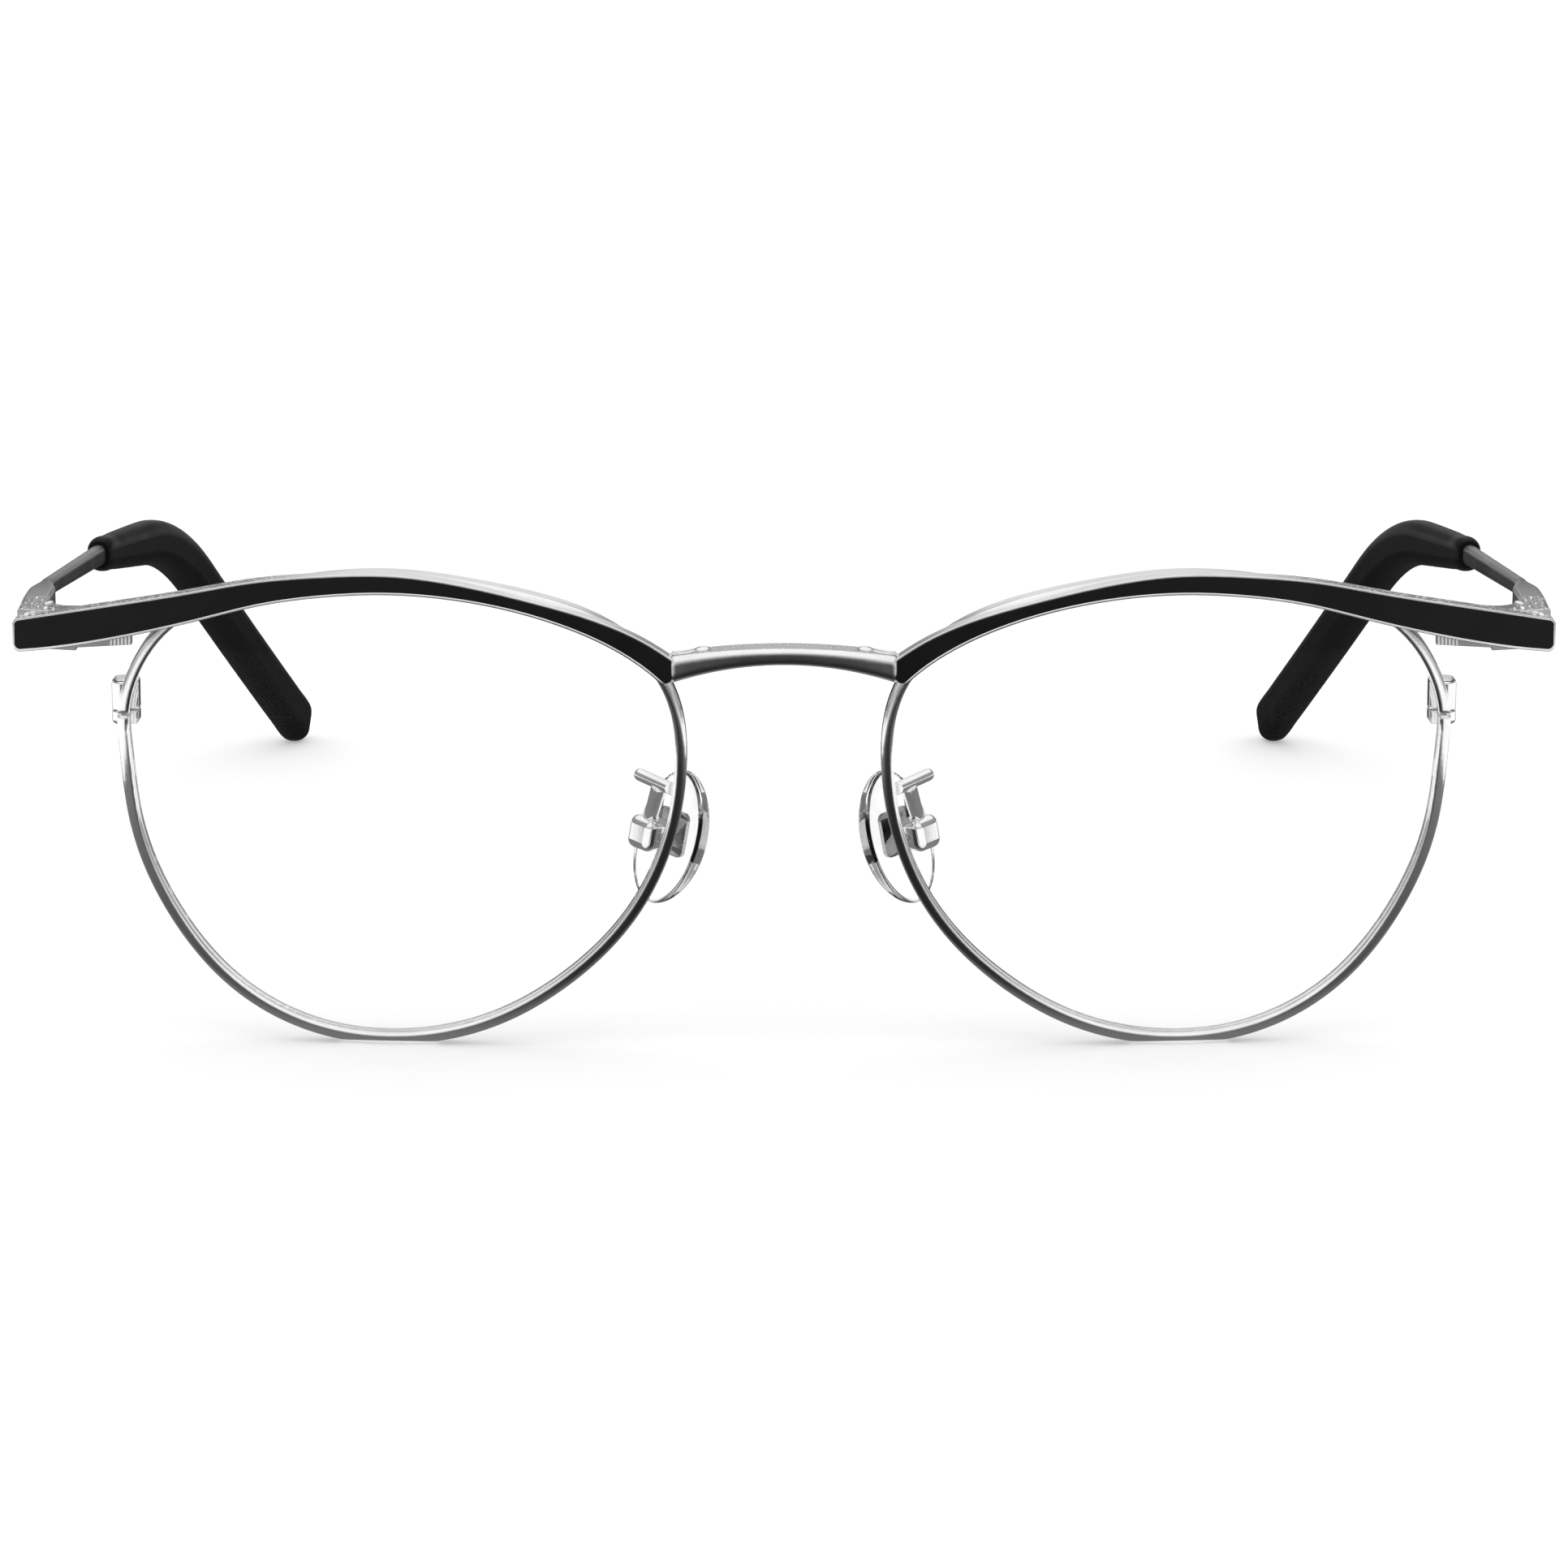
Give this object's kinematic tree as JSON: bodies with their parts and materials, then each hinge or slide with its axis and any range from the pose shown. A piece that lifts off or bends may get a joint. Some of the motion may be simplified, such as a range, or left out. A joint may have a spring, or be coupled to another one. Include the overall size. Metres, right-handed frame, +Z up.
{
  "type": "browline glasses",
  "caption": "Browline glasses with thin metal rims, black inlaid brow bars, arched bridge, clear nose pads on wire arms, slim folding temples and black ear tips.",
  "frame": {"origin": "on the floor that the rims and the temple tips stand on, below the middle of the whole", "axes": "+X to the wearer's left, +Y back along the temples, +Z up; the front faces -Y"},
  "size_m": [0.14, 0.1408, 0.0439],
  "materials": {
    "polished_silver": "polished silver metal",
    "temple_metal": "satin dark silver metal",
    "screw_steel": "bright turned steel",
    "pad_metal": "stamped steel",
    "black_inlay": "satin black lacquer",
    "black_tip": "satin black acetate",
    "clear_lens": "clear polished lens",
    "clear_pad": "clear moulded pad"
  },
  "bodies": {
    "front": {"bridge": "polished_silver", "left_rim": "polished_silver", "left_closing_block_upper": "polished_silver", "left_closing_block_lower": "polished_silver", "left_closing_screw": "screw_steel", "left_lens": "clear_lens", "left_brow_bar": "polished_silver", "left_brow_inlay": "black_inlay", "left_end_piece": "polished_silver", "left_front_hinge_leaf": "polished_silver", "left_hinge_screw": "screw_steel", "left_pad_arm": "polished_silver", "left_pad_box": "polished_silver", "left_pad_screw": "screw_steel", "right_rim": "polished_silver", "right_closing_block_upper": "polished_silver", "right_closing_block_lower": "polished_silver", "right_closing_screw": "screw_steel", "right_lens": "clear_lens", "right_brow_bar": "polished_silver", "right_brow_inlay": "black_inlay", "right_end_piece": "polished_silver", "right_front_hinge_leaf": "polished_silver", "right_hinge_screw": "screw_steel", "right_pad_arm": "polished_silver", "right_pad_box": "polished_silver", "right_pad_screw": "screw_steel"},
    "left_temple": {"left_temple_hinge_leaf": "temple_metal", "left_temple": "temple_metal", "left_temple_tip": "black_tip"},
    "left_nose_pad": {"left_pad_core": "pad_metal", "left_nose_pad": "clear_pad"},
    "right_temple": {"right_temple_hinge_leaf": "temple_metal", "right_temple": "temple_metal", "right_temple_tip": "black_tip"},
    "right_nose_pad": {"right_pad_core": "pad_metal", "right_nose_pad": "clear_pad"}
  },
  "joints": [
    {"name": "left_temple_fold", "type": "hinge", "parent": "front", "child": "left_temple", "pos_m": [0.06555, -0.05697, 0.03713], "axis": [0, 0, 1], "range_deg": [0, 86]},
    {"name": "right_temple_fold", "type": "hinge", "parent": "front", "child": "right_temple", "pos_m": [-0.06555, -0.05697, 0.03713], "axis": [0, 0, -1], "range_deg": [0, 80]},
    {"name": "left_pad_rock", "type": "hinge", "parent": "front", "child": "left_nose_pad", "pos_m": [0.0124, -0.06179, 0.01863], "axis": [0.691, 0.7125, 0.1218], "range_deg": [-8, 8]},
    {"name": "right_pad_rock", "type": "hinge", "parent": "front", "child": "right_nose_pad", "pos_m": [-0.0124, -0.06179, 0.01863], "axis": [-0.691, 0.7125, 0.1218], "range_deg": [-8, 8]}
  ]
}
